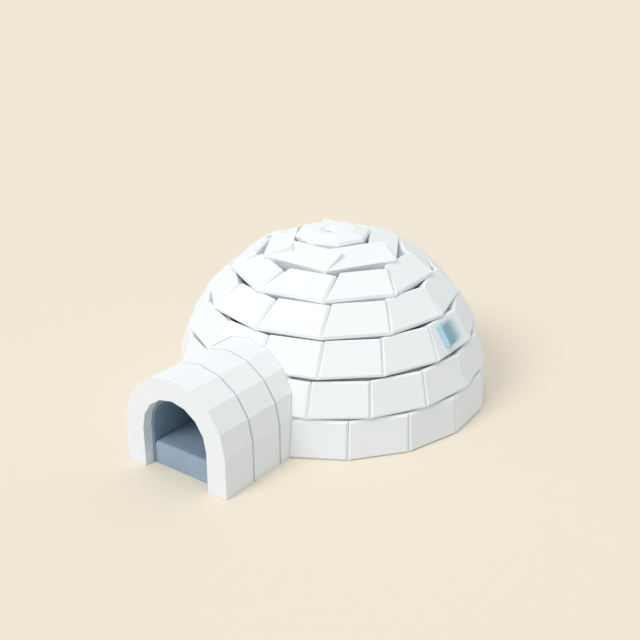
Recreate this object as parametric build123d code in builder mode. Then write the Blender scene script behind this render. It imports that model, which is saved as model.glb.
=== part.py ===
# A snow igloo: a dome laid in courses of cut snow blocks, entered by a tunnel of arched snow rings.
# Millimetres, +Z up, standing on the ground at Z = 0. The tunnel runs out along -Y.
# The origin is on the ground, in the middle of the whole footprint.
import os
from math import atan2, ceil, cos, degrees, floor, radians, sin

from build123d import *

os.makedirs("parts", exist_ok=True)

# Dome
dome_radius = 1800  # from the dome's centre to the lower outer corners of its blocks
centre_height = 108  # the dome's centre, above the ground
wall_thickness = 200
course_setback = 15  # how far each course's top edge lies behind the next course's foot
block_bevel = 24
raked_depth = 100  # a block's square-ended outer layer, in front of its seats for the next course
joint_gap = 0.5  # between neighbouring blocks of a course
fit_gap = 0.5  # round pieces let into an opening
least_seat = 40  # a block isn't shaved to a bed above that it carries less of than this
smallest_cut_block = 0.08  # of a whole block; less than this isn't laid beside the tunnel
blank_stretch = 3  # how much bigger than the block the slab is that it's cut from

# Courses from the ground up: the angle that each bed rises to, its blocks, its first joint,
# and how far the outer layer's top lies below the seats
bed_angles = (0, 11, 24.3, 37.4, 50.2, 62.5, 76.4)
block_counts = (15, 17, 15, 12, 9, 6, 8)  # the last are the sides of the cap block
first_joints = (-70.4, -62.6, -59.5, -59, -59, -59, -1)
rake_heights = (5, 20, 14, 6, 0, 50)

# Cap block with its vent
cap_rise = 50
cap_top_share = 0.6
vent_radius = 98
vent_shift = 60  # towards the tunnel

# Slab of ice let into the third course as a window
window_angle = 0  # the window's direction, turning from +X
window_width = 126
window_height = 230
window_shift = 68  # along the block, towards the tunnel
window_proud = 70  # how far the slab stands out of the snow
window_thickness = 120

# Entrance tunnel
tunnel_angle = -90  # the tunnel's direction, turning from +X
tunnel_reach = 2632  # from the dome's axis to the tunnel's front face
ring_depth = 416
tunnel_half_width = 659
doorway_half_width = 420
spring_height = 441
arch_facets = 8
ring_groove_width = 9  # cut from each ring's edge where two rings meet
ring_groove_depth = 30
lining_thickness = 36
lining_setback = 112
floor_height = 245
floor_bevel = 26

course_names = ("base_course", "second_course", "third_course", "fourth_course", "fifth_course", "sixth_course")
quarters = {"back_right": 0, "back_left": 90, "front_left": 180, "front_right": 270}
window_course = 2
cap_course = len(block_counts) - 1

base_turn = (360 - 2 * (first_joints[0] - tunnel_angle)) / block_counts[0]
back_reach = dome_radius * cos(radians(base_turn / 2))
dome_axis_y = (tunnel_reach - back_reach) / 2
dome_centre = Vector(0, dome_axis_y, centre_height)


def outward(angle):
    return Vector(cos(radians(angle)), sin(radians(angle)), 0)


def sideways(angle):
    return Vector(-sin(radians(angle)), cos(radians(angle)), 0)


def bed_run(course, radius=dome_radius):
    """Horizontal distance from the dome's axis to a bed's outer corners."""
    if course == 0:
        return radius
    return radius * cos(radians(bed_angles[course]))


def bed_rise(course, radius=dome_radius):
    """Height of a bed's outer corners above the dome's centre."""
    if course == 0:
        return -centre_height
    return radius * sin(radians(bed_angles[course]))


def block_turn(course):
    """The angle that one block takes up round the dome."""
    return base_turn if course == 0 else 360 / block_counts[course]


def bed_point(course, middle, radius=dome_radius):
    """The middle of a block's edge on a bed, from the dome's centre."""
    half = radians(block_turn(course) / 2)
    return outward(middle) * bed_run(course, radius) * cos(half) + Vector(0, 0, bed_rise(course, radius))


def head_point(course, middle, radius=dome_radius - course_setback):
    """The middle of a block's top edge, from the dome's centre."""
    half = radians(block_turn(course) / 2)
    return outward(middle) * bed_run(course + 1, radius) * cos(half) + Vector(0, 0, bed_rise(course + 1, radius))


def face_plane(course, middle):
    """The plane of a block's outer face: X along its foot, Y up the face, Z out of the wall."""
    foot, head = bed_point(course, middle), head_point(course, middle)
    along = sideways(middle)
    return Plane(origin=dome_centre + foot, x_dir=along, z_dir=along.cross(head - foot))


def bed_plane(course, middle):
    """The plane that a block sits on, through the dome's centre and the block's foot. Z points down."""
    if course == 0:
        return Plane(origin=(0, dome_axis_y, 0), z_dir=(0, 0, -1))
    return Plane(origin=dome_centre, z_dir=sideways(middle).cross(bed_point(course, middle)))


def square_end(course, middle):
    """The plane that ends a block, square to its face through its foot's last corner. Z points out."""
    corner = outward(middle + block_turn(course) / 2) * bed_run(course)
    return Plane(origin=dome_centre + corner, z_dir=sideways(middle))


def joint_plane(angle):
    """The upright plane through the dome's axis at a joint. Z points on round the dome."""
    return Plane(origin=dome_centre, z_dir=sideways(angle))


def rake_plane(course, middle):
    """The top of a block's outer layer, along the bed above. Z points up."""
    foot, head = bed_point(course, middle), head_point(course, middle)
    edge = head - (head - foot).normalized() * rake_heights[course]
    return Plane(origin=dome_centre + edge, z_dir=head.cross(sideways(middle)))


def bevel_plane(face, side):
    """The bevel along the edge where two planes meet. All three point out of the block."""
    edge = face.intersect(side)
    towards_side = side.z_dir - face.z_dir * face.z_dir.dot(side.z_dir)
    return Plane(origin=edge.position - towards_side.normalized() * block_bevel, z_dir=face.z_dir + side.z_dir)


def seats_above(course, middle):
    """The beds of the next course that a block carries, as planes pointing up."""
    half_turn = block_turn(course) / 2
    inner_run = head_point(course, middle, dome_radius - wall_thickness).dot(outward(middle))
    low = middle - half_turn
    high = middle + degrees(atan2(bed_run(course) * sin(radians(half_turn)), inner_run))
    least_turn = degrees(least_seat / bed_run(course + 1))
    turn, first_joint = block_turn(course + 1), first_joints[course + 1]
    first = floor((low + least_turn - first_joint) / turn)
    last = ceil((high - least_turn - first_joint) / turn)
    return [-bed_plane(course + 1, first_joint + (place + 1 / 2) * turn) for place in range(first, last)]


def slab(plane, width, height, thickness):
    """Snow to cut a block from, behind a plane whose origin is in the middle of the block's foot."""
    with BuildPart() as blank:
        with BuildSketch(plane):
            with Locations((0, height)):
                Rectangle(blank_stretch * width, blank_stretch * height)
        extrude(amount=-thickness)
    return blank.part


def cut_to(solid, planes):
    """What is left of a solid behind every one of the planes."""
    with BuildPart() as trimmed:
        add(solid)
        for plane in planes:
            split(bisect_by=plane, keep=Keep.BOTTOM)
    return trimmed.part


def snow_block(course, middle):
    """One block: an inner layer cut to radial joints, and a square-ended, bevelled outer layer."""
    turn = block_turn(course)
    face, bed = face_plane(course, middle), bed_plane(course, middle)
    width = 2 * bed_run(course) * sin(radians(turn / 2))
    height = (head_point(course, middle) - bed_point(course, middle)).length
    back = face.offset(-raked_depth)
    seats = seats_above(course, middle)

    start_joint, end_joint = -joint_plane(middle - turn / 2), joint_plane(middle + turn / 2)
    radial_joints = [plane.offset(-joint_gap / 2) for plane in (start_joint, end_joint)]
    inner = cut_to(slab(back, width, height, wall_thickness - raked_depth), [bed, *radial_joints])
    layers = [cut_to(inner, [seat]) for seat in seats]

    end = square_end(course, middle).offset(-joint_gap / 2)
    start = (-square_end(course, middle - turn)).offset(-joint_gap / 2)
    rake = rake_plane(course, middle)
    edges = [start, end, rake] if course == 0 else [start, end, rake, bed]
    blank = cut_to(slab(face, width, height, raked_depth), [bed, bed_plane(course, middle + turn), end, rake])
    outer = cut_to(blank, [start])
    bevelled = cut_to(outer, [bevel_plane(face, edge) for edge in edges])
    layers += [cut_to(bevelled, [seat, bevel_plane(face, seat)]) for seat in seats]
    if course == cap_course - 1:
        # Past the top of the block before, the outer layer goes on to the joint
        past = (-rake_plane(course, middle - turn)).offset(-joint_gap)
        filling = cut_to(blank, [radial_joints[0], past])
        layers += [cut_to(filling, [seat]) for seat in seats]
    with BuildPart() as block:
        add(layers)
    return block.part


def arch(half_width):
    """The tunnel's outline at a half width: upright legs under an arch of flat facets."""
    turns = [radians(180 * i / arch_facets) for i in range(arch_facets + 1)]
    with BuildSketch() as outline:
        with BuildLine():
            Polyline(
                (-half_width, 0),
                (half_width, 0),
                *[(half_width * cos(turn), spring_height + half_width * sin(turn)) for turn in turns],
                close=True,
            )
        make_face()
    return outline.sketch


def tunnel_plane(distance):
    """The upright plane across the tunnel at a distance from the dome's axis."""
    return Plane(origin=(0, dome_axis_y - distance, 0), x_dir=(1, 0, 0), z_dir=(0, -1, 0))


# Snow that the tunnel takes the place of
with BuildPart() as entrance:
    with BuildSketch(tunnel_plane(0)):
        add(arch(tunnel_half_width + fit_gap))
    extrude(amount=tunnel_reach)

# Courses of the dome
for course, course_name in enumerate(course_names):
    turn = block_turn(course)
    laid = {quarter: [] for quarter in quarters}
    for place in range(block_counts[course]):
        middle = first_joints[course] + (place + 1 / 2) * turn
        block = snow_block(course, middle)
        if course == window_course and abs(middle - window_angle) < turn / 2:
            window_block, window_middle = block, middle
            continue
        with BuildPart() as trimmed:
            add(block)
            add(entrance.part, mode=Mode.SUBTRACT)
        if trimmed.part.volume < smallest_cut_block * block.volume:
            continue
        quarter = max((low, name) for name, low in quarters.items() if low <= middle % 360)[1]
        laid[quarter].append(trimmed.part)
    for quarter, blocks in laid.items():
        with BuildPart() as segment:
            add(blocks)
        name = f"{course_name}_{quarter}"
        segment.part.label = name
        export_step(segment.part, f"parts/{name}.step")

# Cap block with the vent through it
cap_run, cap_foot_z = bed_run(cap_course), centre_height + bed_rise(cap_course)
slope_share = block_bevel / (cap_run * (1 - cap_top_share))
levels = [  # the cap's outline as a share of its foot, and its height
    (1 - wall_thickness / dome_radius, cap_foot_z - bed_rise(cap_course) * wall_thickness / dome_radius),
    (1 - block_bevel / dome_radius, cap_foot_z - bed_rise(cap_course) * block_bevel / dome_radius),
    (1 - block_bevel / cap_run, cap_foot_z + cap_rise * slope_share),
    (cap_top_share, cap_foot_z + cap_rise),
]
with BuildPart() as cap:
    for pair in zip(levels, levels[1:]):
        for size, level in pair:
            with BuildSketch(Plane.XY.offset(level)):
                with Locations((0, dome_axis_y)):
                    RegularPolygon(size * cap_run, block_counts[cap_course], rotation=first_joints[cap_course])
        loft(ruled=True)
    with Locations((0, dome_axis_y - vent_shift, cap_foot_z + cap_rise)):
        Hole(vent_radius)
cap.part.label = "cap_block"
export_step(cap.part, "parts/cap_block.step")

# Window block and its slab of clear ice
window_face = face_plane(window_course, window_middle)
window_up = (head_point(window_course, window_middle) - bed_point(window_course, window_middle)) / 2
window_plane = Plane(
    origin=window_face.origin + window_up - window_face.x_dir * window_shift,
    x_dir=window_face.x_dir,
    z_dir=window_face.z_dir,
)
with BuildPart() as pierced:
    add(window_block)
    with BuildSketch(window_plane):
        Rectangle(window_width, window_height)
    extrude(amount=-2 * wall_thickness, mode=Mode.SUBTRACT)
pierced.part.label = "window_block"
export_step(pierced.part, "parts/window_block.step")

with BuildPart() as pane:
    with BuildSketch(window_plane.offset(window_proud)):
        Rectangle(window_width - 2 * fit_gap, window_height - 2 * fit_gap)
    extrude(amount=-window_thickness)
pane.part.label = "window_ice"
export_step(pane.part, "parts/window_ice.step")

# Tunnel rings, from the mouth back into the dome, with a groove round each joint
ring_names = ("tunnel_front_ring", "tunnel_middle_ring", "tunnel_rear_ring")
for number, name in enumerate(ring_names):
    back = tunnel_reach - (number + 1) * ring_depth
    front_groove = 0 if name == ring_names[0] else ring_groove_width
    back_groove = 0 if name == ring_names[-1] else ring_groove_width
    with BuildPart() as ring:
        with BuildSketch(tunnel_plane(back)):
            add(arch(tunnel_half_width - ring_groove_depth))
        extrude(amount=ring_depth)
        with BuildSketch(tunnel_plane(back + back_groove)):
            add(arch(tunnel_half_width))
        extrude(amount=ring_depth - back_groove - front_groove)
        with BuildSketch(tunnel_plane(back)):
            add(arch(doorway_half_width))
        extrude(amount=ring_depth, mode=Mode.SUBTRACT)
    ring.part.label = name
    export_step(ring.part, f"parts/{name}.step")

# Ice lining and the raised floor inside it
inner_end = tunnel_reach - 3 * ring_depth
lining_length = tunnel_reach - lining_setback - inner_end
with BuildPart() as lining:
    with BuildSketch(tunnel_plane(inner_end)):
        add(arch(doorway_half_width - fit_gap))
        add(arch(doorway_half_width - lining_thickness), mode=Mode.SUBTRACT)
    extrude(amount=lining_length)
lining.part.label = "tunnel_lining"
export_step(lining.part, "parts/tunnel_lining.step")

with BuildPart() as floor_slab:
    with BuildSketch(tunnel_plane(inner_end)):
        Rectangle(2 * (doorway_half_width - lining_thickness - fit_gap), floor_height, align=(Align.CENTER, Align.MIN))
    extrude(amount=lining_length)
    chamfer(floor_slab.edges().group_by(Axis.Y)[0].sort_by(Axis.Z)[-1], floor_bevel)
floor_slab.part.label = "tunnel_floor"
export_step(floor_slab.part, "parts/tunnel_floor.step")
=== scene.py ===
from math import cos, pi, radians, sin

import bmesh
import bpy
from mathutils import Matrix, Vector


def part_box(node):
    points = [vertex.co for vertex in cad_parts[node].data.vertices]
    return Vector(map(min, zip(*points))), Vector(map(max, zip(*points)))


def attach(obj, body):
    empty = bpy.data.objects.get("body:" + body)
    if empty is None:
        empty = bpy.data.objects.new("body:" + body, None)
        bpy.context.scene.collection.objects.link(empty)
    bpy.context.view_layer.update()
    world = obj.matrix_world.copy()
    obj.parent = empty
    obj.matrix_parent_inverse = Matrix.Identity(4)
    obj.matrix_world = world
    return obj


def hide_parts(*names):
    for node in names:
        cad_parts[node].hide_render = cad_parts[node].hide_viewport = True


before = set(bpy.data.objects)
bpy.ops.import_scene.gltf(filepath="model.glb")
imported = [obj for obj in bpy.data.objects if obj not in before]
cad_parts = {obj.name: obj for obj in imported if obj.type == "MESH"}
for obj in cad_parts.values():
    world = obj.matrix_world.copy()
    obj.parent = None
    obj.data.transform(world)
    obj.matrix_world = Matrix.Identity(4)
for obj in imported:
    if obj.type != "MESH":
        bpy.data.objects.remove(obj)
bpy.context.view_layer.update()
scene = bpy.context.scene
print("frame loaded,", len(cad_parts), "nodes")

# Camera, light and floor

camera = {
    "place": (6.484, -8.570, 5.630),
    "heading": (-0.5947, 0.804),
    "pitch": 23.55,  # degrees below the horizon
    "lens": 59.4,  # millimetres, on a film this wide
    "film": 36,
}

light = {
    "sky": 0.63,
    "softness": 26,  # degrees that each lamp spans
    "lamps": {  # strength, degrees round from +X, degrees above the horizon
        "frontLamp": (1.15, -102, 42),
        "topLamp": (0.52, -80, 86),
    },
}

ground = {
    "size": 200,
    "shown": (0.855, 0.776, 0.644),
    "bounced": (0.75, 0.71, 0.655),  # what it throws back on the snow
    "backdrop": 1.04,  # strength that matches the lit floor
}


def lookAlong(thing, direction):
    thing.rotation_euler = direction.to_track_quat("-Z", "Y").to_euler()


def addToScene(name, data):
    made = bpy.data.objects.new(name, data)
    scene.collection.objects.link(made)
    return made


lens = bpy.data.cameras.new("camera")
lens.lens = camera["lens"]
lens.sensor_width = camera["film"]
eye = addToScene("camera", lens)
eye.location = camera["place"]
down = radians(camera["pitch"])
lookAlong(eye, Vector((*(part * cos(down) for part in camera["heading"]), -sin(down))))
scene.camera = eye
scene.view_settings.view_transform = "Standard"

for name, (strength, turn, lift) in light["lamps"].items():
    lamp = bpy.data.lights.new(name, "SUN")
    lamp.energy = strength
    lamp.angle = radians(light["softness"])
    turn, lift = radians(turn), radians(lift)
    shining = Vector((-cos(turn) * cos(lift), -sin(turn) * cos(lift), -sin(lift)))
    lookAlong(addToScene(name, lamp), shining)


# Node trees, for materials and for rules that build shapes


class Wire:
    # One output of a node, which can be used in sums

    def __init__(self, graph, socket):
        self.graph, self.socket = graph, socket

    def out(self, name):
        return Wire(self.graph, self.socket.node.outputs[name])

    def __add__(self, other):
        return self.graph.maths("ADD", self, other)

    def __radd__(self, other):
        return self.graph.maths("ADD", other, self)

    def __sub__(self, other):
        return self.graph.maths("SUBTRACT", self, other)

    def __rsub__(self, other):
        return self.graph.maths("SUBTRACT", other, self)

    def __mul__(self, other):
        return self.graph.maths("MULTIPLY", self, other)

    def __rmul__(self, other):
        return self.graph.maths("MULTIPLY", other, self)

    def __truediv__(self, other):
        return self.graph.maths("DIVIDE", self, other)

    def __rtruediv__(self, other):
        return self.graph.maths("DIVIDE", other, self)

    def __neg__(self):
        return self.graph.maths("MULTIPLY", self, -1)

    def __lt__(self, other):
        return self.graph.maths("LESS_THAN", self, other)

    def __gt__(self, other):
        return self.graph.maths("GREATER_THAN", self, other)


class Graph:
    # A node tree that is written as expressions

    def __init__(self, tree):
        self.tree = tree

    def node(self, kind, settings=None, sockets=None, output=0):
        made = self.tree.nodes.new(kind)
        for name, value in (settings or {}).items():
            setattr(made, name, value)
        for name, value in (sockets or {}).items():
            for item in value if isinstance(value, list) else [value]:
                if isinstance(item, Wire):
                    self.tree.links.new(item.socket, made.inputs[name])
                else:
                    made.inputs[name].default_value = item
        return Wire(self, made.outputs[output])

    def maths(self, operation, *values):
        return self.node("ShaderNodeMath", {"operation": operation}, dict(enumerate(values)))


def between(start, end, share):
    return start + (end - start) * share


def newRule(name, inputs):
    tree = bpy.data.node_groups.new(name, "GeometryNodeTree")
    for label, kind in inputs.items():
        tree.interface.new_socket(label, in_out="INPUT", socket_type="NodeSocket" + kind)
    tree.interface.new_socket("Geometry", in_out="OUTPUT", socket_type="NodeSocketGeometry")
    graph = Graph(tree)
    first = tree.nodes.new("NodeGroupInput")
    return graph, {label: Wire(graph, first.outputs[label]) for label in inputs}


def endRule(graph, shape, finish):
    real = graph.node("GeometryNodeRealizeInstances", None, {"Geometry": shape})
    painted = graph.node("GeometryNodeSetMaterial", None, {"Geometry": real, "Material": finish})
    last = graph.tree.nodes.new("NodeGroupOutput")
    graph.tree.links.new(painted.socket, last.inputs[0])
    return graph.tree


meshCare = {
    "cornersWithin": 0.0002,  # metres, merged in what a rule or a cut has made
    "planesWithin": 0.001,  # radians
    "closeCorners": 0.0001,  # merged inside the arch rule and in a copy of a CAD node
    "nodePlanesWithin": radians(1),
}


def cleanUp(mesh):
    # Merges doubled corners and joins the faces that lie in one plane
    made = bmesh.new()
    made.from_mesh(mesh)
    near = meshCare["cornersWithin"]
    bmesh.ops.remove_doubles(made, verts=made.verts, dist=near)
    bmesh.ops.dissolve_degenerate(made, edges=made.edges, dist=near)
    bmesh.ops.dissolve_limit(made, angle_limit=meshCare["planesWithin"], verts=made.verts, edges=made.edges)
    made.to_mesh(mesh)
    made.free()


def keepAsMesh(piece, modifier):
    # Makes what a modifier shows the piece's own plain mesh
    bpy.context.view_layer.update()
    made = bpy.data.meshes.new_from_object(piece.evaluated_get(bpy.context.evaluated_depsgraph_get()))
    piece.modifiers.remove(modifier)
    piece.data = made
    cleanUp(made)


def build(name, rule, values):
    piece = addToScene(name, bpy.data.meshes.new(name + "Start"))
    running = piece.modifiers.new("rule", "NODES")
    running.node_group = rule
    sockets = {item.name: item.identifier for item in rule.interface.items_tree if item.in_out == "INPUT"}
    for label, value in values.items():
        running[sockets[label]] = value
    keepAsMesh(piece, running)
    piece.data.name = name
    return piece


def objectFrom(name, made):
    mesh = bpy.data.meshes.new(name)
    made.to_mesh(mesh)
    made.free()
    return addToScene(name, mesh)


def place(piece, slot, *nodes):
    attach(piece, "root")
    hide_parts(*nodes)


def flatFaces(node):
    # A working copy of a CAD node's mesh, its triangles joined into flat faces
    made = bmesh.new()
    made.from_mesh(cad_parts[node].data)
    bmesh.ops.remove_doubles(made, verts=made.verts, dist=meshCare["closeCorners"])
    flat = meshCare["nodePlanesWithin"]
    bmesh.ops.dissolve_limit(made, angle_limit=flat, verts=made.verts, edges=made.edges)
    made.normal_update()
    return made


def frontFace(node):
    # The middle and the outward direction of the face that looks most along +X
    made = flatFaces(node)
    front = max(made.faces, key=lambda face: face.normal.x)
    found = front.calc_center_median(), front.normal.copy()
    made.free()
    return found


# Sizes of the dome in metres. The colour of the snow goes by them too
dome = {
    "radius": 1.8,  # from the dome's centre to a course's foot
    "centreHeight": 0.108,
    "wall": 0.2,
    "outerLayer": 0.1,  # square-ended, in front of the inner layer's upright joints
    "setback": 0.015,
    "bevel": 0.024,
    "bedGap": 0.004,
    "layerOverlap": 0.006,  # how far the inner layer runs into the outer one
    "spareDepth": 0.03,  # by which the cut for the block before passes its layer
    "spareLength": 0.15,
    "coneHeight": 3.0,
    "windowClearance": 0.0015,
}

capLow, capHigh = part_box("cap_block")
domeAxis = Vector(((capLow.x + capHigh.x) / 2, (capLow.y + capHigh.y) / 2, 0))
windowMiddle, windowOut = frontFace("window_ice")

# Materials. Scales are per metre, and relief is the height in metres that a bump stands for


def newMaterial(name):
    material = bpy.data.materials.new(name)
    material.use_nodes = True
    material.node_tree.nodes.clear()
    graph = Graph(material.node_tree)
    spot = graph.node("ShaderNodeTexCoord", output="Object")
    return material, graph, spot


def endMaterial(graph, shader):
    last = graph.tree.nodes.new("ShaderNodeOutputMaterial")
    graph.tree.links.new(shader.socket, last.inputs["Surface"])


def noise(graph, spot, scale, detail=3.0, roughness=0.55):
    sockets = {"Vector": spot, "Scale": scale, "Detail": detail, "Roughness": roughness}
    return graph.node("ShaderNodeTexNoise", None, sockets, "Fac")


def blend(graph, share, first, second):
    return graph.node("ShaderNodeMix", {"data_type": "RGBA"}, {0: share, 6: first, 7: second}, 2)


def vectors(graph, operation, first, second, output):
    return graph.node("ShaderNodeVectorMath", {"operation": operation}, {0: first, 1: second}, output)


def bump(graph, look, height):
    sockets = {"Strength": look["bump"], "Distance": look["relief"], "Height": height}
    return graph.node("ShaderNodeBump", None, sockets, "Normal")


def limited(graph, value):
    return graph.maths("MAXIMUM", graph.maths("MINIMUM", value, 1.0), 0.0)


windowShadow = {  # painted shadow, tinted blue, that the window slab would cast on the snow beside it
    "colour": (0.33, 0.53, 0.61),
    "start": 0.16,  # metres along the block from the slab's middle
    "reach": 0.17,
    "halfHeight": 0.12,
    "edge": 0.05,
    "depth": 0.25,
}


def fromWindow(graph, spot):
    # How far a point is along the block, up the block and out from the slab's front
    along = Vector((0, 0, 1)).cross(windowOut).normalized()
    off = vectors(graph, "SUBTRACT", spot, windowMiddle, "Vector")
    directions = along, windowOut.cross(along), windowOut
    return [vectors(graph, "DOT_PRODUCT", off, direction, "Value") for direction in directions]


def paintedWindowShadow(graph, spot, drift):
    # The painted shadow is full beside the slab and fades out along the block
    beside, level, depth = fromWindow(graph, spot)
    fade = limited(graph, 1 - (beside - windowShadow["start"]) / windowShadow["reach"])
    edge = limited(graph, (windowShadow["halfHeight"] - graph.maths("ABSOLUTE", level)) / windowShadow["edge"] + drift)
    near = (beside > 0) * (graph.maths("ABSOLUTE", depth) < windowShadow["depth"])
    return fade * edge * near


bedShade = {  # painted shade, blue-grey, deep in the beds between the lower courses where the gaps lie in shadow
    "colour": (0.57, 0.60, 0.62),
    "start": 1.725,  # metres from the dome's centre
    "full": 1.695,
    "end": 1.612,
    "darkTo": 0.95,  # metres above the ground
    "clearFrom": 1.2,
}


def paintedBedShade(graph, spot):
    centre = Vector((domeAxis.x, domeAxis.y, dome["centreHeight"]))
    reach = vectors(graph, "DISTANCE", spot, centre, "Value")
    level = graph.node("ShaderNodeSeparateXYZ", None, {0: spot}).out("Z")
    low = limited(graph, (bedShade["clearFrom"] - level) / (bedShade["clearFrom"] - bedShade["darkTo"]))
    deep = limited(graph, (bedShade["start"] - reach) / (bedShade["start"] - bedShade["full"]))
    return low * deep * (reach > bedShade["end"])


snowLook = {
    "light": (0.905, 0.941, 0.948),
    "shade": (0.862, 0.911, 0.930),
    "patches": 2.6,
    "grain": 190,
    "grainRoughness": 0.6,
    "pits": 38,
    "sawn": (6, 6, 110),  # marks of the snow knife, long and level
    "sawnRoughness": 0.4,
    "crystals": 420,
    "glinting": 0.93,  # a crystal glints above this
    "shading": (0.9, 0.25, -0.1),  # by the patches, by the grain, all over
    "heights": (0.7, 1.2, 0.9),  # of the pits, the grain and the knife marks
    "relief": 0.0016,
    "bump": 0.7,
    "roughness": (0.88, -0.5, 0.08),  # plain, and what a glint and a pit add
    "specular": 0.25,
}


def packedSnow():
    look = snowLook
    material, graph, spot = newMaterial("packedSnow")
    patches = noise(graph, spot, look["patches"], detail=4)
    drift = noise(graph, spot, look["pits"])
    grain = noise(graph, spot, look["grain"], detail=2, roughness=look["grainRoughness"])
    stretched = vectors(graph, "MULTIPLY", spot, look["sawn"], "Vector")
    saw = noise(graph, stretched, 1.0, detail=2, roughness=look["sawnRoughness"])
    crystals = graph.node("ShaderNodeTexVoronoi", None, {"Vector": spot, "Scale": look["crystals"]}, "Color")
    glint = graph.node("ShaderNodeSeparateColor", None, {"Color": crystals}) > look["glinting"]
    byPatches, byGrain, allOver = look["shading"]
    shade = patches * byPatches + grain * byGrain + allOver
    colour = blend(graph, shade, (*look["light"], 1), (*look["shade"], 1))
    # painted shade deep in the beds of the lower courses
    colour = blend(graph, paintedBedShade(graph, spot), colour, (*bedShade["colour"], 1))
    # painted shadow of the window slab, tinted blue
    colour = blend(graph, paintedWindowShadow(graph, spot, drift), colour, (*windowShadow["colour"], 1))
    pitHeight, grainHeight, sawHeight = look["heights"]
    plain, onGlint, inPit = look["roughness"]
    shader = graph.node("ShaderNodeBsdfPrincipled", None, {
        "Base Color": colour,
        "Roughness": plain + onGlint * glint + inPit * drift,
        "Normal": bump(graph, look, drift * pitHeight + grain * grainHeight + saw * sawHeight),
        "Specular IOR Level": look["specular"],
    })
    endMaterial(graph, shader)
    return material


ice = {
    "ior": 1.31,
    "coat": 0.12,
    "frost": 120,
    "frostHeight": 0.15,
    "frostRoughness": 0.2,
    "contrast": 1.6,  # of the clouds in it
}

liningLook = {
    "deep": (0.20, 0.295, 0.395),
    "pale": (0.27, 0.375, 0.475),
    "clouds": 5,
    "ripple": 16,
    "relief": 0.002,
    "bump": 0.5,
    "roughness": 0.45,
}

floorLook = {
    "deep": (0.285, 0.395, 0.505),
    "pale": (0.36, 0.475, 0.58),
    "clouds": 6,
    "ripple": 11,
    "relief": 0.003,
    "bump": 0.5,
    "roughness": 0.4,
}


def glazedIce(name, look):
    material, graph, spot = newMaterial(name)
    clouds = noise(graph, spot, look["clouds"], detail=5)
    ripple = noise(graph, spot, look["ripple"], detail=2)
    frost = noise(graph, spot, ice["frost"], detail=2)
    share = clouds * ice["contrast"] + (0.5 - ice["contrast"] / 2)
    height = ripple + frost * ice["frostHeight"]
    shader = graph.node("ShaderNodeBsdfPrincipled", None, {
        "Base Color": blend(graph, share, (*look["deep"], 1), (*look["pale"], 1)),
        "Roughness": look["roughness"] + ice["frostRoughness"] * frost,
        "Normal": bump(graph, look, height),
        "IOR": ice["ior"],
        "Coat Weight": ice["coat"],
    })
    endMaterial(graph, shader)
    return material


windowLook = {
    "deep": (0.225, 0.43, 0.51),
    "pale": (0.30, 0.52, 0.61),
    "frostAndPaintedLight": (0.40, 0.70, 0.76),  # on the sawn sides, at the top: frost, and painted light that keeps the sides paler than the front
    "bluest": (0.50, 0.72, 0.92),  # and at the foot, paler and bluer
    "height": 0.24,
    "clouds": 9,
    "cracks": 14,
    "crackSharpness": 40,
    "paling": (0.8, 0.35),  # by the clouds, by the cracks
    "crackHeight": 0.3,
    "relief": 0.0008,
    "bump": 0.4,
    "roughness": (0.2, 0.15, 0.3),  # plain, and what the clouds and a sawn edge add
    "sawnTurn": 0.7,  # on a sawn edge the cosine of the turn from the slab's front is below this
    "edgeClouds": 0.25,
}


def clearIce():
    look = windowLook
    material, graph, spot = newMaterial("clearIce")
    clouds = noise(graph, spot, look["clouds"], detail=4)
    cells = {"Vector": spot, "Scale": look["cracks"]}
    toCrack = graph.node("ShaderNodeTexVoronoi", {"feature": "DISTANCE_TO_EDGE"}, cells, "Distance")
    vein = 1 - graph.maths("MINIMUM", toCrack * look["crackSharpness"], 1)
    byClouds, byCracks = look["paling"]
    clear = blend(graph, clouds * byClouds + vein * byCracks, (*look["deep"], 1), (*look["pale"], 1))
    level = fromWindow(graph, spot)[1]
    low = limited(graph, 0.5 - level / look["height"])
    # The sides' colour, frost and painted light, paler than the clear front and bluer towards the foot
    frost = blend(graph, low, (*look["frostAndPaintedLight"], 1), (*look["bluest"], 1))
    sawn = vectors(graph, "DOT_PRODUCT", spot.out("Normal"), windowOut, "Value") < look["sawnTurn"]
    plain, inClouds, onSawn = look["roughness"]
    shader = graph.node("ShaderNodeBsdfPrincipled", None, {
        "Base Color": blend(graph, sawn * (1 - clouds * look["edgeClouds"]), clear, frost),
        "Roughness": plain + inClouds * clouds + onSawn * sawn,
        "Normal": bump(graph, look, clouds + vein * look["crackHeight"]),
        "IOR": ice["ior"],
    })
    endMaterial(graph, shader)
    return material


def plainFloor():
    material, graph, spot = newMaterial("paleFloor")
    ray = graph.node("ShaderNodeLightPath", output="Is Camera Ray")
    mirrored = graph.maths("MAXIMUM", ray, ray.out("Is Glossy Ray"))
    seen = graph.maths("MAXIMUM", mirrored, ray.out("Is Transmission Ray"))
    colour = blend(graph, seen, (*ground["bounced"], 1), (*ground["shown"], 1))
    endMaterial(graph, graph.node("ShaderNodeBsdfDiffuse", None, {"Color": colour}))
    return material


snow = packedSnow()
liningIce = glazedIce("liningIce", liningLook)
floorIce = glazedIce("floorIce", floorLook)
windowIce = clearIce()
print("materials made")

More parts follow.
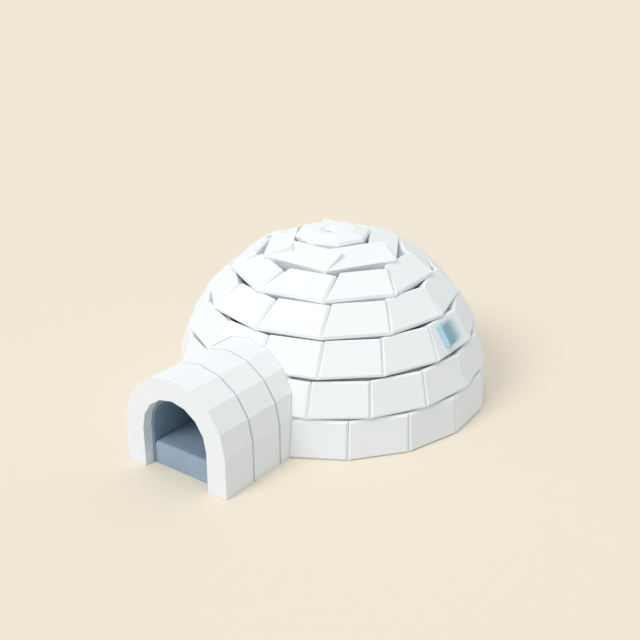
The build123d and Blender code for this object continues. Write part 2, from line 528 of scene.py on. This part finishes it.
sky = bpy.data.worlds.new("sky")
scene.world = sky
sky.use_nodes = True
sky.node_tree.nodes.clear()
air = Graph(sky.node_tree)
seen = air.node("ShaderNodeLightPath", output="Is Camera Ray")
lit = air.node("ShaderNodeBackground", None, {"Color": (1, 1, 1, 1), "Strength": light["sky"]})
backdrop = air.node("ShaderNodeBackground", None, {
    "Color": (*ground["shown"], 1), "Strength": ground["backdrop"],
})
mixed = air.node("ShaderNodeMixShader", None, {0: seen, 1: lit, 2: backdrop})
worldOut = sky.node_tree.nodes.new("ShaderNodeOutputWorld")
sky.node_tree.links.new(mixed.socket, worldOut.inputs["Surface"])

floorMesh = bpy.data.meshes.new("floor")
edge = ground["size"] / 2
corners = [(-edge, -edge, 0), (edge, -edge, 0), (edge, edge, 0), (-edge, edge, 0)]
floorMesh.from_pydata(corners, [], [(0, 1, 2, 3)])
floorMesh.materials.append(plainFloor())
addToScene("floor", floorMesh)

# Courses of snow blocks

# Angles are in degrees: bed is the lean of the bed that a course stands on, joint where its first upright
# joint stands, round from +X, and free the angle to each side of the tunnel's middle that has no block.
# Lowered is how far the outer layer's top lies below the next bed, and gap the width of an upright joint
courses = {
    "base_course": {"bed": 0, "blocks": 15, "joint": -70.4, "lowered": 0.016, "free": 0, "gap": 0.003},
    "second_course": {"bed": 11, "blocks": 17, "joint": -62.6, "lowered": 0.024, "free": 10, "gap": 0.003},
    "third_course": {"bed": 24.3, "blocks": 15, "joint": -59.5, "lowered": 0.010, "free": 0, "gap": 0.0012},
    "fourth_course": {"bed": 37.4, "blocks": 12, "joint": -59, "lowered": 0.002, "free": 0, "gap": 0.0012},
    "fifth_course": {"bed": 50.2, "blocks": 9, "joint": -59, "lowered": 0, "free": 0, "gap": 0.0012},
    "sixth_course": {"bed": 62.5, "blocks": 6, "joint": -59, "lowered": 0.050, "free": 0, "gap": 0.0012},
    "cap": {"bed": 76.4, "blocks": 8, "joint": -1},
}
tunnelTurn = -90  # degrees round from +X
quarters = ("back_right", "back_left", "front_left", "front_right")

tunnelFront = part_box("tunnel_front_ring")[0].y


def snowCourse():
    graph, size = newRule("snowCourse", {
        "Blocks": "Int", "Block turn": "Float", "First joint": "Float",
        "Foot radius": "Float", "Foot height": "Float", "Head radius": "Float", "Head height": "Float",
        "Bed apex": "Float", "Dome centre": "Float", "On the ground": "Bool", "Past the block before": "Bool",
        "Wall": "Float", "Outer layer": "Float", "Bevel": "Float", "Lowered top": "Float",
        "Joint gap": "Float", "Bed gap": "Float",
        "Blocks above": "Int", "First joint above": "Float", "Bed angle": "Float", "Bed angle above": "Float",
        "Free turn": "Float", "Axis": "Vector", "Tunnel": "Object", "Window": "Object", "Snow": "Material",
    })
    halfTurn = size["Block turn"] / 2
    cosHalf, sinHalf = graph.maths("COSINE", halfTurn), graph.maths("SINE", halfTurn)
    tanHalf, tanTurn = graph.maths("TANGENT", halfTurn), graph.maths("TANGENT", size["Block turn"])
    halfGap = size["Joint gap"] / 2
    footX, footZ = size["Foot radius"] * cosHalf, size["Foot height"]
    headX, headZ = size["Head radius"] * cosHalf, size["Head height"]
    runX, runZ = headX - footX, headZ - footZ
    long = graph.maths("SQRT", runX * runX + runZ * runZ)
    upX, upZ = runX / long, runZ / long

    def stepIn(x, z, apex):
        # How far a bed goes in and down for each metre of depth behind the face
        alongX, alongZ = -x, apex - z
        depth = alongZ * upX - alongX * upZ
        return alongX / depth, alongZ / depth

    footStep = stepIn(footX, footZ, size["Bed apex"])
    headStep = stepIn(headX, headZ, size["Dome centre"])

    def slab(rows, depthOf, insetOf, lowered, square, radialStart=False, spare=0.0):
        # One layer of a block, out of a cube whose X is its depth, Y its length and Z its height.
        # The cube's corners are at -1, 0 and 1, so that a comparison picks a row of them. Inset is how
        # far the outline is drawn in there, and spare how far a cutter passes the block
        cube = graph.node("GeometryNodeMeshCube", None, {"Size": (2, 2, 2), "Vertices X": rows})
        axes = graph.node("ShaderNodeSeparateXYZ", None, {0: graph.node("GeometryNodeInputPosition")})
        depth, inset = depthOf(axes), insetOf(axes)
        level, side = (axes.out("Z") + 1) / 2, (axes.out("Y") + 1) / 2
        rise, drop = inset - spare, lowered + inset
        atX = between(
            footX + footStep[0] * depth + upX * rise, headX + headStep[0] * depth - upX * drop, level
        )
        atZ = between(
            footZ + footStep[1] * depth + upZ * rise, headZ + headStep[1] * depth - upZ * drop, level
        )
        radial = atX * tanHalf - halfGap
        end = size["Foot radius"] * sinHalf - halfGap - inset if square else radial
        start = -radial
        if square and not radialStart:
            start = (footX - atX) * tanTurn - size["Foot radius"] * sinHalf + halfGap / cosHalf + inset
        if spare:
            end, start = end + size["Joint gap"], start - spare
        corner = graph.node("ShaderNodeCombineXYZ", None, {0: atX, 1: between(start, end, side), 2: atZ})
        return graph.node("GeometryNodeSetPosition", None, {"Geometry": cube, "Position": corner})

    def boolean(operation, first, *others):
        settings = {"operation": operation, "solver": "MANIFOLD"}
        if operation == "DIFFERENCE":
            return graph.node("GeometryNodeMeshBoolean", settings, {"Mesh 1": first, "Mesh 2": list(others)})
        return graph.node("GeometryNodeMeshBoolean", settings, {"Mesh 2": [first, *others]})

    def bedCone(sides, joint, bedAngle, drop):
        # Everything above a course's beds: a cone whose flat sides are the beds
        height = dome["coneHeight"]
        cone = graph.node("GeometryNodeMeshCone", {"fill_type": "NGON"}, {
            "Vertices": sides, "Radius Bottom": 0.0,
            "Radius Top": height / graph.maths("TANGENT", bedAngle), "Depth": height,
        })
        return graph.node("GeometryNodeTransform", None, {
            "Geometry": cone,
            "Rotation": graph.node("ShaderNodeCombineXYZ", None, {2: joint}),
            "Translation": graph.node("ShaderNodeCombineXYZ", None, {2: size["Dome centre"] - drop}),
        })

    bevel, layer, wall = size["Bevel"], size["Outer layer"], size["Wall"]
    lowered, spare = size["Lowered top"], dome["spareDepth"]

    def noInset(at):
        return at * 0

    outer = slab(
        3, lambda at: bevel * (at < 0.5) + (layer - bevel) * (at < -0.5), lambda at: bevel * (at > 0.5),
        lowered, True,
    )
    inner = slab(2, lambda at: between(wall, layer - dome["layerOverlap"], at > 0), noInset, 0.0, False)
    before = slab(
        2, lambda at: between(layer + spare, -spare, at > 0), noInset, lowered, True,
        spare=dome["spareLength"],
    )
    before = graph.node("GeometryNodeTransform", None, {
        "Geometry": before, "Rotation": graph.node("ShaderNodeCombineXYZ", None, {2: -size["Block turn"]}),
    })
    # Snow behind the outer layer's lowered top, up to the block before, for the cap to sit on
    filling = slab(2, lambda at: layer * (at < 0), noInset, lowered, True, radialStart=True)
    filling = boolean("DIFFERENCE", filling, before)
    filling = graph.node("GeometryNodeSwitch", {"input_type": "GEOMETRY"}, {
        "Switch": size["Past the block before"], "True": filling,
    })
    block = boolean("UNION", outer, inner, filling)
    onBed = boolean("INTERSECT", block, bedCone(size["Blocks"], halfTurn, size["Bed angle"], 0.0))
    block = graph.node("GeometryNodeSwitch", {"input_type": "GEOMETRY"}, {
        "Switch": size["On the ground"], "False": onBed, "True": block,
    })

    places = graph.node("GeometryNodePoints", None, {"Count": size["Blocks"]})
    turned = size["First joint"] + (graph.node("GeometryNodeInputIndex") + 0.5) * size["Block turn"]
    fromTunnel = graph.maths("COSINE", turned - radians(tunnelTurn))
    clear = fromTunnel < graph.maths("COSINE", size["Free turn"])
    ring = graph.node("GeometryNodeInstanceOnPoints", None, {
        "Points": places, "Selection": clear, "Instance": block,
        "Rotation": graph.node("ShaderNodeCombineXYZ", None, {2: turned}),
    })
    laid = graph.node("GeometryNodeRealizeInstances", None, {"Geometry": ring})
    above = bedCone(size["Blocks above"], size["First joint above"], size["Bed angle above"], size["Bed gap"])
    shaved = boolean("DIFFERENCE", laid, above)
    moved = graph.node("GeometryNodeTransform", None, {"Geometry": shaved, "Translation": size["Axis"]})
    holes = [
        graph.node("GeometryNodeObjectInfo", None, {"Object": size[hole]}, "Geometry")
        for hole in ("Tunnel", "Window")
    ]
    return endRule(graph, boolean("DIFFERENCE", moved, *holes), size["Snow"])


# Arches of the tunnel

tunnel = {
    "halfWidth": 0.659,
    "springHeight": 0.441,
    "facets": 8,
    "grooveWidth": 0.011,
    "grooveDepth": 0.045,
    "clearance": 0.004,  # between the tunnel and the blocks cut round it
    "cutBelow": 0.2,  # how far the cut passes the ground
}


def archedShell():
    graph, size = newRule("archedShell", {
        "Front": "Float", "Back": "Float", "Outer half width": "Float", "Inner half width": "Float",
        "Spring height": "Float", "Facets": "Int", "Front groove": "Float", "Back groove": "Float",
        "Groove depth": "Float", "Finish": "Material",
    })
    rows = size["Facets"] + 3  # a foot, the facets' corners, a foot
    cube = graph.node("GeometryNodeMeshCube", None, {
        "Size": graph.node("ShaderNodeCombineXYZ", None, {0: size["Facets"] + 2, 1: 2.0, 2: 5.0}),
        "Vertices X": rows, "Vertices Y": 2, "Vertices Z": 6,
    })
    axes = graph.node("ShaderNodeSeparateXYZ", None, {0: graph.node("GeometryNodeInputPosition")})
    along, outside, row = axes + size["Facets"] / 2, axes.out("Y") > 0, axes.out("Z") + 2.5
    turned = graph.maths("MINIMUM", graph.maths("MAXIMUM", along, 0.0), size["Facets"]) * pi / size["Facets"]
    onArch = (along > -0.5) * (along < size["Facets"] + 0.5)
    # The six rows from front to back: two of the front groove, two of the face, two of the back groove
    grooved = (size["Front groove"] > 0) * (row < 1.5) + (size["Back groove"] > 0) * (row > 3.5)
    outer = size["Outer half width"] - size["Groove depth"] * grooved
    radius = between(size["Inner half width"], outer, outside)
    full = size["Back"] - size["Front"] - size["Front groove"] - size["Back groove"]
    atY = size["Front"] + size["Front groove"] * (row > 0.5) + full * (row > 2.5)
    atY = atY + size["Back groove"] * (row > 4.5)
    corner = graph.node("ShaderNodeCombineXYZ", None, {
        0: radius * graph.maths("COSINE", turned),
        1: atY,
        2: onArch * (size["Spring height"] + radius * graph.maths("SINE", turned)),
    })
    shell = graph.node("GeometryNodeSetPosition", None, {"Geometry": cube, "Position": corner})
    near = meshCare["closeCorners"]
    merged = graph.node("GeometryNodeMergeByDistance", None, {"Geometry": shell, "Distance": near})
    return endRule(graph, merged, size["Finish"])


archRule = archedShell()


def buildArch(name, front, back, outer, inner, finish, frontGroove=0.0, backGroove=0.0):
    return build(name, archRule, {
        "Front": front, "Back": back, "Outer half width": outer, "Inner half width": inner,
        "Spring height": tunnel["springHeight"], "Facets": tunnel["facets"],
        "Front groove": frontGroove, "Back groove": backGroove, "Groove depth": tunnel["grooveDepth"],
        "Finish": finish,
    })


def tunnelCutter():
    # The room that the tunnel takes, as a solid arch
    made = bmesh.new()
    wide = tunnel["halfWidth"] + tunnel["clearance"]
    turns = [pi * corner / tunnel["facets"] for corner in range(tunnel["facets"] + 1)]
    arch = [(wide * cos(at), tunnel["springHeight"] + wide * sin(at)) for at in turns]
    outline = [(wide, -tunnel["cutBelow"]), *arch, (-wide, -tunnel["cutBelow"])]
    face = made.faces.new([made.verts.new((x, tunnelFront, z)) for x, z in outline])
    pushed = bmesh.ops.extrude_face_region(made, geom=[face])["geom"]
    for corner in pushed:
        if isinstance(corner, bmesh.types.BMVert):
            corner.co.y = domeAxis.y
    bmesh.ops.recalc_face_normals(made, faces=made.faces)
    return objectFrom("tunnelCutter", made)


def copyOfNode(name, node, grown=0.0):
    made = flatFaces(node)
    for corner in made.verts:
        corner.co += sum((face.normal for face in corner.link_faces), Vector()) * grown
    return objectFrom(name, made)


softEdges = {
    "ring": 0.004,
    "cap": 0.004,
    "window": 0.008,
    "floor": 0.012,
    "steps": 3,
    "sharperThan": radians(40),
}


def softenEdges(piece, width):
    soft = piece.modifiers.new("soft edges", "BEVEL")
    soft.width, soft.segments = width, softEdges["steps"]
    soft.limit_method, soft.angle_limit = "ANGLE", softEdges["sharperThan"]


courseRule = snowCourse()
cutters = {
    "Tunnel": tunnelCutter(),
    "Window": copyOfNode("windowCutter", "window_ice", dome["windowClearance"]),
}
headReach = dome["radius"] - dome["setback"]
names = list(courses)
for name, nextName in zip(names, names[1:]):
    own, above = courses[name], courses[nextName]
    bed, bedAbove = radians(own["bed"]), radians(above["bed"])
    onGround = name == names[0]  # it runs from one side of the tunnel to the other, and not all round
    covered = 360 + 2 * (tunnelTurn - own["joint"]) if onGround else 360
    course = build(name, courseRule, {
        "Blocks": own["blocks"], "Block turn": radians(covered / own["blocks"]),
        "First joint": radians(own["joint"]),
        "Foot radius": dome["radius"] * cos(bed),
        "Foot height": 0.0 if onGround else dome["centreHeight"] + dome["radius"] * sin(bed),
        "Head radius": headReach * cos(bedAbove),
        "Head height": dome["centreHeight"] + headReach * sin(bedAbove),
        "Bed apex": 0.0 if onGround else dome["centreHeight"], "Dome centre": dome["centreHeight"],
        "On the ground": onGround, "Past the block before": name == names[-2],
        "Wall": dome["wall"], "Outer layer": dome["outerLayer"], "Bevel": dome["bevel"],
        "Lowered top": own["lowered"], "Joint gap": own["gap"], "Bed gap": dome["bedGap"],
        "Blocks above": above["blocks"], "First joint above": radians(above["joint"]),
        "Bed angle": bed, "Bed angle above": bedAbove,
        "Free turn": radians(own["free"]), "Axis": domeAxis,
        "Tunnel": cutters["Tunnel"], "Window": cutters["Window"], "Snow": snow,
    })
    nodes = [f"{name}_{quarter}" for quarter in quarters]
    if name == "third_course":
        nodes.append("window_block")
    place(course, "packed_snow", *nodes)
    print(name, "laid,", len(course.data.polygons), "faces")
for cutter in cutters.values():
    bpy.data.objects.remove(cutter)

# Tunnel rings, lining and floor

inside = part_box("tunnel_lining")[1].x
for name, grooves in {  # whether the ring is grooved at its front and at its back
    "tunnel_front_ring": (0, 1),
    "tunnel_middle_ring": (1, 1),
    "tunnel_rear_ring": (1, 0),
}.items():
    low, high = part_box(name)
    widths = [tunnel["grooveWidth"] * groove for groove in grooves]
    ring = buildArch(name + "_snow", low.y, high.y, high.x, inside, snow, *widths)
    softenEdges(ring, softEdges["ring"])
    place(ring, "packed_snow", name)
low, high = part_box("tunnel_lining")
thickness = high.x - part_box("tunnel_floor")[1].x
lining = buildArch("tunnel_lining_ice", low.y, high.y, high.x, high.x - thickness, liningIce)
place(lining, "blue_ice", "tunnel_lining")
raisedFloor = copyOfNode("tunnel_floor_ice", "tunnel_floor")
softenEdges(raisedFloor, softEdges["floor"])
raisedFloor.data.materials.append(floorIce)
place(raisedFloor, "blue_ice", "tunnel_floor")
print("tunnel built")

# Cap block and window

capSize = {
    "radius": 0.4232,  # from its middle to a corner of its foot
    "rise": 0.050,
    "topShare": 0.6,
    "bevel": 0.024,
}

ventSize = {
    "radius": 0.098,
    "throat": 0.066,  # its radius below its flared rim
    "flare": 0.038,
    "shift": (0, -0.060),  # from the cap's middle, towards the tunnel
    "throatShift": (0.012, -0.076),
    "sides": 48,
    "deep": 0.6,  # how far the cut runs below the cap's top
    "above": 0.1,
}


def ringOfCorners(middleX, middleY, radius, height, corners, turn=0):
    turns = [radians(turn + 360 * corner / corners) for corner in range(corners)]
    return [(middleX + radius * cos(at), middleY + radius * sin(at), height) for at in turns]


def loft(name, rings):
    # A closed piece through rings of corners, from its foot up
    made = bmesh.new()
    laid = [[made.verts.new(corner) for corner in ring] for ring in rings]
    for lower, upper in zip(laid, laid[1:]):
        for corner in range(len(lower)):
            after = (corner + 1) % len(lower)
            made.faces.new((lower[corner], lower[after], upper[after], upper[corner]))
    made.faces.new(laid[-1])
    made.faces.new(reversed(laid[0]))
    return objectFrom(name, made)


def capBlock():
    wide, bevel, top = capSize["radius"], capSize["bevel"], capHigh.z
    foot = top - capSize["rise"]
    slopeShare = bevel / (wide * (1 - capSize["topShare"]))
    fall = (foot - dome["centreHeight"]) / dome["radius"]
    levels = [
        (1 - dome["wall"] / dome["radius"], foot - fall * dome["wall"]),
        (1 - bevel / dome["radius"], foot - fall * bevel),
        (1 - bevel / wide, foot + capSize["rise"] * slopeShare),
        (capSize["topShare"], top),
    ]
    corners, turn = courses["cap"]["blocks"], courses["cap"]["joint"]
    return loft("cap_block_snow", [
        ringOfCorners(domeAxis.x, domeAxis.y, share * wide, height, corners, turn) for share, height in levels
    ])


def ventCutter():
    # A funnel: wide at the top of the cap, narrower below
    top = capHigh.z
    return loft("ventCutter", [
        ringOfCorners(domeAxis.x + shift[0], domeAxis.y + shift[1], radius, height, ventSize["sides"])
        for shift, radius, height in (
            (ventSize["throatShift"], ventSize["throat"], top - ventSize["deep"]),
            (ventSize["throatShift"], ventSize["throat"], top - ventSize["flare"]),
            (ventSize["shift"], ventSize["radius"], top),
            (ventSize["shift"], ventSize["radius"], top + ventSize["above"]),
        )
    ])


cap = capBlock()
vent = ventCutter()
cut = cap.modifiers.new("vent", "BOOLEAN")
cut.operation, cut.solver, cut.object = "DIFFERENCE", "EXACT", vent
keepAsMesh(cap, cut)
bpy.data.objects.remove(vent)
cap.data.materials.clear()
cap.data.materials.append(snow)
softenEdges(cap, softEdges["cap"])
place(cap, "packed_snow", "cap_block")

pane = copyOfNode("window_ice_slab", "window_ice")
softenEdges(pane, softEdges["window"])
pane.data.materials.append(windowIce)
place(pane, "clear_ice", "window_ice")
print("cap and window built")
